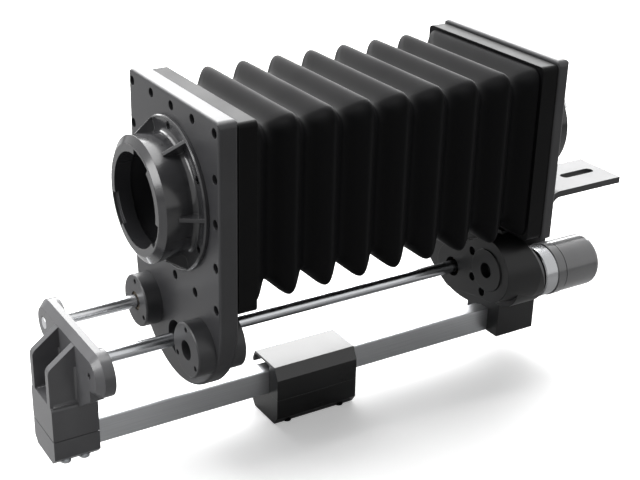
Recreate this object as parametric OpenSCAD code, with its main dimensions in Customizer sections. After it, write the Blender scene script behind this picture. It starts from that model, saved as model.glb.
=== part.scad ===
// Macro bellows unit: fixed rear standard, sliding front standard, rail and tripod foot.
// Lengths in millimetres, +Z up, +X towards the camera end, +Y away from the focusing knob.

/* [Plates of the standards] */
// Width of the two upright plates
plate_w = 110; // [104:0.5:120]
// Height of the plates above the bellows' end frames
plate_lip = 2.1; // [1:0.1:4]
// Round lower end of the plates below the guide rod axes
plate_drop = 36.5; // [35.5:0.5:38]
// Thickness of the front plate
front_plate_t = 11.4; // [10:0.2:13]
// Thickness of the rear plate
rear_plate_t = 7.8; // [7.2:0.2:10]
// Rounding of the plates' long edges
plate_edge_r = 1.6; // [1:0.1:2]
// Rounding of the plates' top corners
plate_corner_r = 4; // [3:0.5:6]
// Radius of the light window in both plates
window_r = 29; // [28:0.5:29.5]

/* [Bellows and its end frames] */
// Length of the bellows between its end frames as photographed
bellows_l = 187.6; // [180:1:200]
// Number of pleats
pleats = 8; // [6:1:9]
// Pleat ridges inside the edge of the end frames
ridge_inset = 1.8; // [1.5:0.1:3]
// Depth of the folds from ridge to valley
fold_depth = 7.6; // [5:0.1:8.5]
// Corner radius at the ridges
ridge_corner_r = 6.5; // [4:0.5:8]
// Corner radius at the valleys
valley_corner_r = 10; // [8:0.5:12]
// Thickness of the bellows skin
skin_t = 1.2; // [1:0.1:1.6]
// Sharpness of the folds, towards 1 for a sharp crease
fold_share = 0.95; // [0.8:0.01:0.98]
// Free gap at the moving end of the bellows
soft_gap = 0.3; // [0.2:0.1:0.5]
// Edge of the square end frames inside the plates' edge
frame_inset = 0.3; // [0.1:0.1:0.6]
// Thickness of the end frames
frame_t = 11.4; // [10:0.2:12]
// Width of the end frames' four bars
frame_wall = 11.7; // [10.5:0.1:12]
// Corner radius of the end frames
frame_corner_r = 3; // [2:0.5:4]

/* [Lens mount] */
// Radius of the mount's flange
lens_flange_r = 44.1; // [43.5:0.1:45]
// Thickness of the flange at its rim
lens_flange_t = 2.7; // [2.4:0.1:3.2]
// Width of the raised rim round the flange
lens_rim_w = 1.5; // [1:0.1:2]
// Depth of the flange face below its rim
lens_rim_step = 0.7; // [0.4:0.1:1]
// Outer radius of the neck at its front end
lens_neck_r = 35.9; // [35.5:0.1:36.5]
// Outer radius of the neck at the flange
lens_root_r = 34.6; // [34:0.1:35.2]
// Fillet between neck and flange
lens_fillet_r = 3; // [2:0.5:4]
// Length of the mount in front of the plate
lens_mount_l = 23.4; // [22:0.2:25]
// Length of the bevelled part of the front ring
lens_bevel_l = 2.8; // [2:0.2:3.2]
// Radius of the bayonet ring's seat
lens_seat_r = 31.4; // [31:0.1:32]
// Radius of the lens opening
throat_r = 27.1; // [26.5:0.1:27.5]
// Length of the bayonet ring
lens_ring_l = 10; // [8:0.5:12]
// Depth of the three recesses in the bayonet ring
lens_recess_d = 2; // [1.5:0.1:3]
// Radius that the recesses reach
lens_recess_r = 30.2; // [29.8:0.1:30.4]
// Thickness of the gussets
gusset_t = 2.2; // [1.8:0.1:3]
// Length of the gussets along the neck
gusset_l = 14; // [12:0.5:15]
// Number of gussets round the neck
gussets = 6; // [4:1:6]

/* [Rods, bearings and drive] */
// Guide rod axes inside the plates' edges
bearing_inset = 21; // [20.5:0.1:22]
// Drive screw axis below the guide rod axes
screw_drop = 11.6; // [11.2:0.1:12]
// Radius of the guide rod and of the drive screw
rod_r = 4; // [3.8:0.05:4]
// Radial running clearance of shafts
run_gap = 0.05; // [0.02:0.01:0.08]
// Radius of the bearing housings
bearing_r = 16; // [15.5:0.1:16.5]
// Length of the bearing housings in front of the plate
bearing_front_l = 10.5; // [9:0.5:12]
// Length of the bearing housings behind the plate's front face
bearing_back_l = 18.7; // [17:0.1:20]
// Radius of the bore in the bearing housings
bearing_bore_r = 5.85; // [5.6:0.05:6]
// Length of each slide bush
slide_bush_l = 11; // [9:0.5:12]
// Radius of the drive nut and its window in the front plate
nut_r = 11; // [10.5:0.1:11.5]
// Depth of the drive nut behind the plate's front face
nut_recess = 5; // [4:0.5:6]
// Length of the drive nut
nut_l = 14; // [12:0.5:16]
// Outer radius of the drive screw's bushes
screw_bush_r = 6.5; // [6.2:0.1:6.8]
// Outer radius of the knob shaft's bushes
shaft_bush_r = 6; // [5.6:0.1:6.3]
// Teeth of the gear on the knob shaft
knob_teeth = 28; // [28:1:28]
// Teeth of the gear on the drive screw
screw_teeth = 44; // [44:1:44]
// Width of the gears
gear_w = 6; // [5:0.5:7]
// Play between the meshed teeth
gear_play = 0.12; // [0.08:0.01:0.2]
// Travel of the front standard per turn of the drive screw
screw_lead = 8; // [4:1:12]

/* [Front end bracket] */
// Rear face of the bracket's web in front of the front plate
web_gap = 60.3; // [60:0.5:66]
// Thickness of the web
web_t = 8; // [7:0.5:9]
// Radius of the bracket's lugs
lug_r = 13.3; // [12.5:0.1:13.5]
// Length of the lugs behind the web
lug_back_l = 2.3; // [1.5:0.1:3]
// Bevel along the web's front edge
web_bevel = 4; // [3:0.25:4.5]
// Radius of the blind hole in the near lug
lug_hole_r = 2; // [1.6:0.1:2.4]
// Thickness of the two ribs
rib_t = 4.5; // [4:0.1:5]
// Clear space between the two ribs
rib_gap = 19.6; // [18:0.2:20.5]
// Top of the ribs above the guide rod axes
rib_top_h = 8.9; // [8:0.1:9.2]
// Knee of the ribs below the guide rod axes
rib_knee_drop = 0.8; // [0.4:0.1:3]
// Reach of ribs and foot block in front of the web
block_reach = 16.2; // [15:0.2:18]
// Length of the foot block behind the web's rear face
block_back_l = 3.3; // [2.5:0.1:4]
// Width of the foot block
block_w = 32; // [31:0.5:33]
// Top of the foot block below the guide rod axes
block_top_drop = 26; // [25:0.5:27]
// Rounding of the ribs' knees
rib_knee_r = 5; // [3:0.5:6]
// Fillets where the ribs stand on the block and on the web
rib_fillet_r = 1.6; // [1:0.1:2]
// Rounding of the foot block's upper edges
block_round_r = 3; // [2:0.25:4]
// Bevel on the lower edges of the rail jaw
jaw_bevel = 4; // [3:0.25:4.5]
// Depth of the groove along the parting line
part_groove_d = 0.6; // [0.3:0.1:1]
// Height of that groove
part_groove_h = 0.7; // [0.4:0.1:1]

/* [Rail] */
// Width of the rail bar
rail_w = 10.8; // [10:0.1:12]
// Height of the rail bar
rail_h = 16.3; // [15:0.1:17]
// Top of the rail below the guide rod axes
rail_drop = 47.5; // [47:0.1:49]
// Rounding of the rail's long edges
rail_edge_r = 0.8; // [0.5:0.1:1.2]
// Floor left under the rail's end tenons
tenon_floor = 2.3; // [2:0.1:3]
// Length of solid block beyond each tenon
tenon_stop = 5; // [4:0.5:6]

/* [Rear gear housing] */
// Thickness of the half-round gear case
case_t = 12.8; // [12:0.1:14]
// Length of the drums in front of the case
drum_front_l = 10; // [9:0.5:11]
// Length of the drum past the case's rear face
drum_back_l = 8.6; // [8:0.1:9]
// Radius of the knob-side drum at its front, round the free rod axis
drum_front_r = 20.8; // [20.4:0.1:21.2]
// Radius of the knob-side drum where it is widest
drum_rear_r = 24; // [23.8:0.1:24.2]
// Length of the drum's taper between these two
drum_slope_l = 23; // [21:0.5:24]
// Radius of the drum's rear rim, round the knob's axis
drum_rim_r = 17.4; // [17.2:0.1:17.8]
// Bevel at the drum's rear rim
drum_bevel = 0.6; // [0.4:0.1:0.8]
// Top of the gear case above the guide rod axes
case_top_h = 24.5; // [22:0.5:26]
// Radius of the drum round the drive screw
screw_drum_r = 15.5; // [15:0.1:16.5]
// Radius of the raised bearing face on the knob-side drum
bearing_face_r = 13.7; // [13:0.1:14]
// Height of the raised bearing face
bearing_face_t = 0.8; // [0.5:0.1:1]
// Radius of the open bore in the bearing face
face_bore_r = 5; // [4.8:0.1:5.4]
// Depth of that bore
face_bore_d = 5; // [4:0.5:5.5]
// Wall between that bore and the knob shaft's bush
bush_wall = 1.5; // [1:0.1:2]
// Wall in front of the gear space
case_wall = 3.5; // [3:0.1:4]
// Space between gears and case walls
gear_room = 0.5; // [0.4:0.05:0.7]
// Radius of the drum's rear cover
cover_r = 16.2; // [16.1:0.05:16.4]
// Height of the rear cover past the drum's rim
cover_lip = 0.8; // [0.5:0.1:1.2]
// Space between the gear case and the bellows' rear frame
case_top_gap = 0.8; // [0.5:0.1:1.2]

/* [Focusing knob] */
// Knob's axis inside the plates' edge
knob_inset = 19; // [18.5:0.1:20]
// Knob's axis below the guide rod axes
knob_drop = 8.5; // [8:0.1:9]
// Gap between rear cover and knob collar
knob_gap = 1.8; // [1.5:0.1:2.5]
// Radius of the bright collar
collar_r = 16.4; // [16:0.1:16.8]
// Length of the bright collar
collar_l = 9.6; // [9:0.2:11]
// Radius of the dark ring behind the collar
knob_ring_r = 17; // [16.8:0.1:17.4]
// Length of the dark ring
knob_ring_l = 6; // [5:0.1:7]
// Radius of the knob's grip
knob_r = 16.6; // [16:0.1:16.9]
// Length of the knob without its collar
knob_l = 35; // [30:0.5:38]
// Depth of the groove between ring and grip
knob_groove_d = 0.5; // [0.3:0.05:0.7]
// Width of that groove
knob_groove_w = 0.9; // [0.6:0.1:1.2]
// Rounding of the knob's rear rim
knob_round_r = 4; // [2:0.25:5]

/* [Rear rail block and camera bracket] */
// Length of the rear rail block
rear_block_l = 28.4; // [28:0.1:30]
// Step of its lower part under the rear plate
rear_block_step = 2; // [1.5:0.1:2.5]
// Top of the rear block above the guide rod axes
rear_block_top = 6; // [4:0.5:8]
// Space kept round the turning knob
knob_room = 2.2; // [1.8:0.1:2.5]
// Thickness of the camera bracket's sheet
sheet_t = 4.2; // [4:0.1:4.5]
// Width of the camera shelf
shelf_w = 38; // [36:0.5:40]
// Top of the camera shelf above the guide rod axes
shelf_top_h = 34.4; // [33:0.1:36]
// Length of the camera shelf
shelf_l = 61.4; // [60:0.2:64]
// Inner radius of the bracket's bend
bend_r = 6; // [5:0.25:7]
// Lower end of the bracket's leg below the guide rod axes
leg_drop = 29; // [27:0.5:30]
// Width of the camera screw slot
slot_w = 6.6; // [6.4:0.1:7]
// Length of the camera screw slot
slot_l = 26.6; // [24:0.2:28]
// Front end of the slot behind the bracket's front face
slot_start = 27.4; // [26:0.2:30]

/* [Camera mount] */
// Radius of the camera mount's flange
camera_flange_r = 38; // [37:0.5:40]
// Thickness of the flange
camera_flange_t = 3; // [2.5:0.1:3.5]
// Outer radius of the camera mount's neck
camera_neck_r = 29.6; // [29:0.1:30]
// Outer radius of the camera face ring
camera_ring_r = 31.6; // [31.2:0.1:32]
// Length of the camera face ring
camera_ring_l = 6; // [5:0.5:7]
// Length of the mount behind the rear plate
camera_mount_l = 26.4; // [25:0.2:28]
// Radius of the camera bayonet's tube
camera_tube_r = 26; // [25.6:0.1:26.2]
// Wall of the bayonet tube
camera_tube_t = 1.8; // [1.5:0.1:2]
// Length of the tube past the camera face
camera_tube_l = 4.8; // [4:0.1:5]
// Length of the tube inside the mount
camera_tube_in = 8; // [7:0.5:10]
// Reach of the three bayonet tabs
camera_tab_w = 2; // [1.6:0.1:2.4]
// Thickness of the bayonet tabs
camera_tab_t = 1.6; // [1.4:0.1:2]

/* [Tripod foot] */
// Front end of the foot behind the front plate's front face
foot_start = 59; // [50:1:90]
// Length of the foot
foot_l = 57; // [55:0.5:60]
// Width of the foot
foot_w = 32; // [31:0.5:33]
// Width of the saddle's flat top
foot_top_w = 24.4; // [23:0.2:25]
// Top of the saddle above the rail
saddle_rise = 5.2; // [4.9:0.1:5.6]
// Thickness of the saddle's top
saddle_t = 1.6; // [1.4:0.1:2]
// Height of the saddle's bevelled shoulder
shoulder_h = 7.7; // [7:0.1:8.2]
// Height of the far lip
lip_h = 2.2; // [1.8:0.1:2.6]
// Height of the far cheek that guides the rail
cheek_h = 5.3; // [4.5:0.1:6]
// Thickness of the far cheek
cheek_t = 4.6; // [4:0.1:5]
// Sliding clearance round the rail
slide_gap = 0.15; // [0.1:0.01:0.2]
// Height of the foot's base
foot_base_h = 18; // [17:0.5:20]
// Bevel on the base's lower edges
foot_bevel_w = 3.6; // [3:0.1:4]
// Height of that bevel
foot_bevel_h = 5.2; // [4.5:0.1:6]
// Radius of the tripod thread
tripod_r = 3.175; // [3.1:0.025:3.2]
// Radius of the tripod bush
tripod_bush_r = 6; // [5.5:0.1:6.5]
// Length of the tripod bush
tripod_bush_l = 10; // [9:0.5:12]

/* [Fasteners] */
// Radius of the frame screws' heads
frame_head_r = 2.7; // [2.5:0.05:2.8]
// Radius of the frame screws' shanks
frame_shank_r = 1.5; // [1.4:0.05:1.6]
// Height of the frame screws' heads
frame_head_t = 2.6; // [2.4:0.1:2.8]
// Depth of the frame screws' heads below the plate
frame_head_sink = 1.6; // [1.2:0.1:2]
// Radius of the larger screws' heads
block_head_r = 4.2; // [3.9:0.1:4.5]
// Radius of the larger screws' shanks
block_shank_r = 2.4; // [2.2:0.1:2.5]
// Height of the larger screws' heads above their seat
block_head_t = 1.2; // [1:0.1:1.6]
// Clearance of shanks and heads in their holes
screw_gap = 0.1; // [0.05:0.01:0.15]
// Outermost frame screws inside the plates' edge
screw_edge = 4.6; // [4.2:0.1:5]

/* [Hidden] */
$fn = 96;

// Stations along X, from the front plate's front face
front_frame_x = front_plate_t;
bellows_x = front_frame_x + frame_t;
rear_frame_x = bellows_x + bellows_l;
rear_plate_x = rear_frame_x + frame_t;
rear_face_x = rear_plate_x + rear_plate_t;
case_x = rear_plate_x - case_t;
drum_x = case_x - drum_front_l;
drum_l = drum_front_l + case_t + drum_back_l;
drum_end_x = drum_x + drum_l;
cover_end_x = drum_end_x + cover_lip;
collar_x = cover_end_x + knob_gap;
knob_x = collar_x + collar_l;
knob_end_x = knob_x + knob_l;
web_x = -web_gap - web_t;
block_x = web_x - block_reach;
block_end_x = block_back_l - web_gap;
rear_block_end_x = rear_face_x + rear_block_l;
shelf_end_x = rear_block_end_x + shelf_l;
camera_face_x = rear_face_x + camera_mount_l;
gear_x = case_x + case_wall + gear_room;

// Widths and heights that follow from the plates' width
frame_w = plate_w - 2 * frame_inset;
frame_window_w = frame_w - 2 * frame_wall;
ridge_half_w = frame_w / 2 - ridge_inset;
valley_half_w = ridge_half_w - fold_depth;
axis_half_pitch = plate_w / 2 - bearing_inset;
knob_y = knob_inset - plate_w / 2;
frame_screw_pitch = (plate_w / 2 - screw_edge) / 2;
optical_h = case_top_h + case_top_gap + frame_w / 2;
plate_top_h = optical_h + frame_w / 2 + plate_lip;
plate_round_h = plate_w / 2 - plate_drop;

// Heights below the guide rod axes
rail_floor = rail_drop + rail_h;
foot_top_drop = rail_drop - saddle_rise;
foot_part_drop = rail_floor + slide_gap;
foot_drop = foot_part_drop + foot_base_h;

// The part's own frame: middle of the box in plan, lowest point at zero
mid_x = (block_x + shelf_end_x) / 2;
near_y = -axis_half_pitch - drum_rear_r;
mid_y = (near_y + plate_w / 2) / 2;

// Gear pair between the knob shaft and the drive screw
gear_centres = norm([knob_y, screw_drop - knob_drop]);
gear_module = 2 * gear_centres / (knob_teeth + screw_teeth);
knob_pitch_r = gear_module * knob_teeth / 2;
screw_pitch_r = gear_module * screw_teeth / 2;
mesh_angle = atan2(knob_drop - screw_drop, -knob_y);
pressure_angle = 20;
flank_steps = 3;

// Screw pattern of the bellows frames, five holes a side
pattern = [for (i = [-2:2]) for (j = [-2:2]) if (max(abs(i), abs(j)) == 2) [i, j]];

// Frame of the finished part
module placed() {
    translate([-mid_x, -mid_y, foot_drop]) children();
}

// Straight piece along X from an outline in Y and Z
module along_x(x, len) {
    translate([x, 0, 0]) rotate([90, 0, 90]) linear_extrude(len) children();
}

// Straight piece along Y, centred, from an outline in X and Z
module along_y(w) {
    translate([0, w / 2, 0]) rotate([90, 0, 0]) linear_extrude(w) children();
}

// Round bar along X
module bar_x(x, len, r, y, z) {
    translate([x, y, z]) rotate([0, 90, 0]) cylinder(h = len, r = r);
}

// Cone along X
module cone_x(x, len, r1, r2, y, z) {
    translate([x, y, z]) rotate([0, 90, 0]) cylinder(h = len, r1 = r1, r2 = r2);
}

// Turned piece about X from an outline of radius against X
module turned_x(y, z) {
    translate([0, y, z]) rotate([0, 90, 0]) rotate_extrude() children();
}

// Rectangle with round corners, centred
module round_rect(w, h, r) {
    square([w - 2 * r, h], center = true);
    square([w, h - 2 * r], center = true);
    for (sy = [-1, 1]) for (sz = [-1, 1])
        translate([sy * (w / 2 - r), sz * (h / 2 - r)]) circle(r);
}

// Point where a line from p touches the circle (c, r); side is 1 or -1
function touch(p, c, r, side) =
    let (v = c - p, d = norm(v), a = side * asin(r / d), l = sqrt(d * d - r * r) / d)
    p + l * [v[0] * cos(a) - v[1] * sin(a), v[0] * sin(a) + v[1] * cos(a)];

// Outline between two circles along their outer tangents
module tangent_web(c1, r1, c2, r2) {
    v = c2 - c1;
    a = atan2(v[1], v[0]);
    b = acos((r1 - r2) / norm(v));
    polygon([
        c1 + r1 * [cos(a + b), sin(a + b)],
        c1 + r1 * [cos(a - b), sin(a - b)],
        c2 + r2 * [cos(a - b), sin(a - b)],
        c2 + r2 * [cos(a + b), sin(a + b)]
    ]);
}

// Plate of a standard, straight above and half-round below, with rounded edges
module plate_blank(x, t) {
    straight_h = plate_top_h - plate_round_h;
    difference() {
        translate([x + t / 2, 0, plate_round_h]) intersection() {
            linear_extrude(straight_h) round_rect(t, plate_w, plate_edge_r);
            translate([0, 0, straight_h - plate_w / 2]) along_y(plate_w)
                round_rect(t, plate_w, plate_edge_r);
            translate([-t / 2, 0, 0]) along_x(0, t)
                translate([0, straight_h - plate_w / 2]) round_rect(plate_w, plate_w, plate_corner_r);
        }
        translate([x - t, -plate_w, plate_round_h - plate_w]) cube([3 * t, 2 * plate_w, plate_w]);
    }
    translate([x + t / 2, 0, plate_round_h])
        linear_extrude(straight_h - plate_w / 2) round_rect(t, plate_w, plate_edge_r);
    difference() {
        turned_x(0, plate_round_h) translate([0, x + t / 2]) intersection() {
            round_rect(plate_w, t, plate_edge_r);
            translate([0, -t]) square([plate_w, 2 * t]);
        }
        translate([x - t, -plate_w, plate_round_h]) cube([3 * t, 2 * plate_w, plate_w]);
    }
}

// Holes of the frame screws: heads from x0 towards dir
module frame_screw_places() {
    for (p = pattern)
        translate([0, p[0] * frame_screw_pitch, optical_h + p[1] * frame_screw_pitch]) children();
}

// Socket head screw along +X, with its head's face at x = 0
module socket_screw(head_r, head_t, shank_r, shank_l) {
    difference() {
        union() {
            rotate([0, 90, 0]) cylinder(h = head_t, r = head_r);
            rotate([0, 90, 0]) cylinder(h = head_t + shank_l, r = shank_r);
        }
        translate([-head_t, 0, 0]) rotate([0, 90, 0]) cylinder(h = head_t * 3 / 2, r = shank_r * 3 / 4, $fn = 6);
    }
}

// Concave fillet in a corner that opens towards positive X and Y
module fillet_outline(r) {
    difference() {
        translate([-r / 4, -r / 4]) square(r * 5 / 4);
        translate([r, r]) circle(r);
    }
}

// Square end frame of the bellows
module end_frame(x) {
    translate([x, 0, optical_h]) along_x(0, frame_t) difference() {
        round_rect(frame_w, frame_w, frame_corner_r);
        round_rect(frame_window_w, frame_window_w, frame_corner_r);
    }
}

module rail_bar() {
    color([0.62, 0.63, 0.65]) placed() {
        difference() {
            along_x(block_x + tenon_stop, rear_block_end_x - block_x - 2 * tenon_stop)
                translate([0, -rail_drop - rail_h / 2]) round_rect(rail_w, rail_h, rail_edge_r);
            translate([block_x, -rail_w, -rail_floor - rail_h + tenon_floor])
                cube([block_end_x - block_x, 2 * rail_w, rail_h]);
            translate([rear_face_x - rear_block_step, -rail_w, -rail_floor - rail_h + tenon_floor])
                cube([rear_block_l + rear_block_step, 2 * rail_w, rail_h]);
            for (s = rear_block_screw_x()) translate([s, 0, -rail_floor])
                cylinder(h = tenon_floor + block_shank_r * 3, r = block_shank_r + screw_gap);
        }
    }
}

function rear_block_screw_x() = [rear_face_x + rear_block_l / 4, rear_face_x + rear_block_l * 3 / 4 - tenon_stop / 2];

// Mortise that takes an end of the rail
module mortise(x, len) {
    translate([x, -rail_w / 2, -rail_floor + tenon_floor]) cube([len, rail_w, rail_h - tenon_floor]);
}

// Rib in X and Z, with a rounded knee between its sloping top and its upright front
module rib_outline() {
    c = [block_x + rib_knee_r, -rib_knee_drop - rib_knee_r];
    top = [web_x, rib_top_h];
    difference() {
        union() {
            polygon([top, touch(top, c, rib_knee_r, -1), c, [block_x, c[1]],
                     [block_x, -block_top_drop - block_round_r], [web_x, -block_top_drop - block_round_r]]);
            translate(c) circle(rib_knee_r);
        }
    }
}

// Foot block in Y and Z, with round upper edges
module block_outline() {
    low = -rail_drop;
    high = -block_top_drop;
    translate([-block_w / 2, low]) square([block_w, high - low - block_round_r]);
    translate([block_round_r - block_w / 2, low]) square([block_w - 2 * block_round_r, high - low]);
    for (s = [-1, 1]) translate([s * (block_w / 2 - block_round_r), high - block_round_r]) circle(block_round_r);
}

module front_end_bracket() {
    foot_half = block_w / 2;
    low = -block_top_drop - block_round_r;
    corner = touch([foot_half, low], [axis_half_pitch, 0], lug_r, -1);
    bolts_x = jaw_screw_x();
    color([0.2, 0.2, 0.21]) placed() difference() {
        union() {
            // Web between the lugs, its top bevelled towards the front
            intersection() {
                along_y(2 * axis_half_pitch) polygon([
                    [web_x, low], [-web_gap, low], [-web_gap, lug_r],
                    [web_x + web_bevel, lug_r], [web_x, lug_r - web_bevel]
                ]);
                along_x(web_x, web_t) polygon([
                    [-foot_half, low], [foot_half, low], corner,
                    [axis_half_pitch, 0], [axis_half_pitch, lug_r],
                    [-axis_half_pitch, lug_r], [-axis_half_pitch, 0], [-corner[0], corner[1]]
                ]);
            }
            // Lugs, bevelled like the web
            for (s = [-1, 1]) {
                cone_x(web_x, web_bevel, lug_r - web_bevel, lug_r, s * axis_half_pitch, 0);
                bar_x(web_x + web_bevel, web_t - web_bevel + lug_back_l, lug_r, s * axis_half_pitch, 0);
            }
            // Ribs with their fillets
            for (s = [-1, 1]) translate([0, s * (rib_gap + rib_t) / 2, 0]) {
                along_y(rib_t) rib_outline();
                for (t = [-1, 1]) {
                    along_x(block_x + rib_fillet_r, block_reach - rib_fillet_r)
                        translate([t * rib_t / 2, -block_top_drop]) mirror([t < 0 ? 1 : 0, 0]) fillet_outline(rib_fillet_r);
                    translate([web_x, t * rib_t / 2, low])
                        linear_extrude(block_top_drop - rib_knee_drop) mirror([0, t < 0 ? 1 : 0])
                        rotate([0, 0, 90]) fillet_outline(rib_fillet_r);
                }
            }
            along_x(block_x, block_end_x - block_x) block_outline();
        }
        bar_x(web_x - web_t, 2 * web_t + lug_back_l, rod_r, axis_half_pitch, 0);
        bar_x(web_x - web_t / 2, web_t, lug_hole_r, -axis_half_pitch, 0);
        bar_x(-web_gap - web_t * 3 / 4, web_t, shaft_bush_r, 0, -screw_drop);
        for (x = bolts_x) for (s = [-1, 1]) translate([x, s * block_w / 3, -rail_floor])
            cylinder(h = rail_floor - block_top_drop - web_bevel, r = block_shank_r + screw_gap);
    }
}

function jaw_screw_x() = [block_x + block_reach / 2, block_end_x - block_reach / 2];

module front_rail_jaw() {
    color([0.17, 0.17, 0.18]) placed() difference() {
        union() {
            along_x(block_x, block_end_x - block_x) polygon([
                [-block_w / 2, -rail_drop - part_groove_h], [-block_w / 2, jaw_bevel - rail_floor],
                [jaw_bevel - block_w / 2, -rail_floor], [block_w / 2 - jaw_bevel, -rail_floor],
                [block_w / 2, jaw_bevel - rail_floor], [block_w / 2, -rail_drop - part_groove_h]
            ]);
            // Narrower top, which leaves a groove along the parting line
            translate([block_x + part_groove_d, part_groove_d - block_w / 2, -rail_drop - 2 * part_groove_h])
                cube([block_end_x - block_x - 2 * part_groove_d, block_w - 2 * part_groove_d, 2 * part_groove_h]);
        }
        mortise(block_x + tenon_stop, block_end_x - block_x);
        for (x = jaw_screw_x()) for (s = [-1, 1]) translate([x, s * block_w / 3, -rail_floor - rail_h / 2])
            cylinder(h = 2 * rail_h, r = block_shank_r + screw_gap);
    }
}

module front_jaw_screws() {
    color([0.3, 0.3, 0.31]) placed() for (x = jaw_screw_x()) for (s = [-1, 1])
        translate([x, s * block_w / 3, -rail_floor - block_head_t]) rotate([0, -90, 0])
            socket_screw(block_head_r * 3 / 4, block_head_t, block_shank_r, rail_h + block_reach / 2);
}

module screw_front_bush() {
    color([0.72, 0.55, 0.28]) placed() difference() {
        bar_x(-web_gap - web_t * 3 / 4, web_t * 3 / 4, shaft_bush_r, 0, -screw_drop);
        bar_x(-web_gap - web_t, 2 * web_t, rod_r + run_gap, 0, -screw_drop);
    }
}

module guide_rod() {
    tip = rod_r / 8;
    color([0.8, 0.81, 0.82]) placed() {
        cone_x(web_x, tip, rod_r - tip, rod_r, axis_half_pitch, 0);
        bar_x(web_x + tip, rear_face_x - web_x - 2 * tip, rod_r, axis_half_pitch, 0);
        cone_x(rear_face_x - tip, tip, rod_r, rod_r - tip, axis_half_pitch, 0);
    }
}

// Angles of the three screws on the knob-side drum's face
face_screw_angles = [25, -37, -79];
face_screw_r_share = 0.81;

module face_screw_places() {
    for (a = face_screw_angles)
        translate([drum_x, face_screw_r_share * drum_front_r * cos(a) - axis_half_pitch,
                   face_screw_r_share * drum_front_r * sin(a)]) children();
}

module gear_housing() {
    rod_axis = [-axis_half_pitch, 0];
    screw_axis = [0, -screw_drop];
    tip = gear_module + gear_room;
    color([0.16, 0.16, 0.17]) placed() difference() {
        union() {
            // Half-round case against the rear plate, cut off above the knob-side drum
            along_x(case_x, case_t) difference() {
                intersection() {
                    translate([0, plate_round_h]) circle(plate_w / 2);
                    translate([-plate_w, -plate_w]) square([2 * plate_w, plate_w + case_top_h]);
                }
                translate([-plate_w, 0]) square([plate_w - axis_half_pitch, plate_w]);
            }
            // Tapered drum round the free rod's axis, bevelled down to a rim round the knob's axis
            intersection() {
                union() {
                    cone_x(drum_x, drum_slope_l, drum_front_r, drum_rear_r, -axis_half_pitch, 0);
                    bar_x(drum_x + drum_slope_l, drum_l - drum_slope_l, drum_rear_r, -axis_half_pitch, 0);
                }
                cone_x(drum_x, drum_l, drum_rim_r + drum_l, drum_rim_r, knob_y, -knob_drop);
            }
            bar_x(case_x, drum_end_x - drum_bevel - case_x, drum_rim_r, knob_y, -knob_drop);
            cone_x(drum_end_x - drum_bevel, drum_bevel, drum_rim_r, drum_rim_r - drum_bevel, knob_y, -knob_drop);
            // Drum round the drive screw and the wall between the drums
            bar_x(drum_x, drum_front_l, screw_drum_r, 0, -screw_drop);
            along_x(drum_x, drum_front_l)
                tangent_web(rod_axis, drum_front_r - drum_bevel, screw_axis, screw_drum_r - drum_bevel);
            bar_x(drum_x - bearing_face_t, 2 * bearing_face_t, bearing_face_r, -axis_half_pitch, 0);
        }
        // Gear space, open to the rear
        bar_x(case_x + case_wall, case_t, knob_pitch_r + tip, knob_y, -knob_drop);
        bar_x(case_x + case_wall, case_t, screw_pitch_r + tip, 0, -screw_drop);
        bar_x(rear_plate_x, 2 * drum_back_l, cover_r, knob_y, -knob_drop);
        // Free rod hole, bores for the bushes and the guide rod, and holes of the face screws
        bar_x(drum_x - 2 * bearing_face_t, 2 * bearing_face_t + face_bore_d, face_bore_r, -axis_half_pitch, 0);
        bar_x(drum_x + face_bore_d + bush_wall, drum_l, shaft_bush_r, knob_y, -knob_drop);
        bar_x(drum_x - drum_bevel, drum_l, screw_bush_r, 0, -screw_drop);
        bar_x(case_x - case_t, 3 * case_t, rod_r, axis_half_pitch, 0);
        face_screw_places() {
            bar_x(-frame_head_sink, 2 * frame_head_sink + frame_head_t, frame_head_r + screw_gap, 0, 0);
            bar_x(0, drum_front_l, frame_shank_r + screw_gap, 0, 0);
        }
    }
}

module bearing_face_screws() {
    color([0.3, 0.3, 0.31]) placed() face_screw_places() translate([frame_head_sink, 0, 0])
        socket_screw(frame_head_r, frame_head_t, frame_shank_r, drum_front_l - frame_head_sink - frame_head_t);
}

module gear_housing_cover() {
    color([0.08, 0.08, 0.08]) placed() difference() {
        bar_x(rear_plate_x, cover_end_x - rear_plate_x, cover_r, knob_y, -knob_drop);
        bar_x(rear_plate_x - cover_lip, cover_end_x, shaft_bush_r, knob_y, -knob_drop);
    }
}

module knob_shaft_bushes() {
    front_x = drum_x + face_bore_d + bush_wall;
    color([0.72, 0.55, 0.28]) placed() {
        difference() {
            bar_x(front_x, case_x + case_wall - front_x, shaft_bush_r, knob_y, -knob_drop);
            bar_x(drum_x, drum_l, rod_r + run_gap, knob_y, -knob_drop);
        }
        difference() {
            bar_x(rear_plate_x, cover_end_x - rear_plate_x, shaft_bush_r, knob_y, -knob_drop);
            bar_x(drum_x, 2 * drum_l, rod_r + run_gap, knob_y, -knob_drop);
        }
    }
}

module screw_rear_bushes() {
    front_x = drum_x + face_bore_d;
    color([0.72, 0.55, 0.28]) placed() {
        difference() {
            bar_x(front_x, case_x + case_wall - front_x, screw_bush_r, 0, -screw_drop);
            bar_x(drum_x, drum_l, rod_r + run_gap, 0, -screw_drop);
        }
        difference() {
            bar_x(rear_plate_x, rear_plate_t, screw_bush_r, 0, -screw_drop);
            bar_x(drum_x, 2 * drum_l, rod_r + run_gap, 0, -screw_drop);
        }
    }
}

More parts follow.
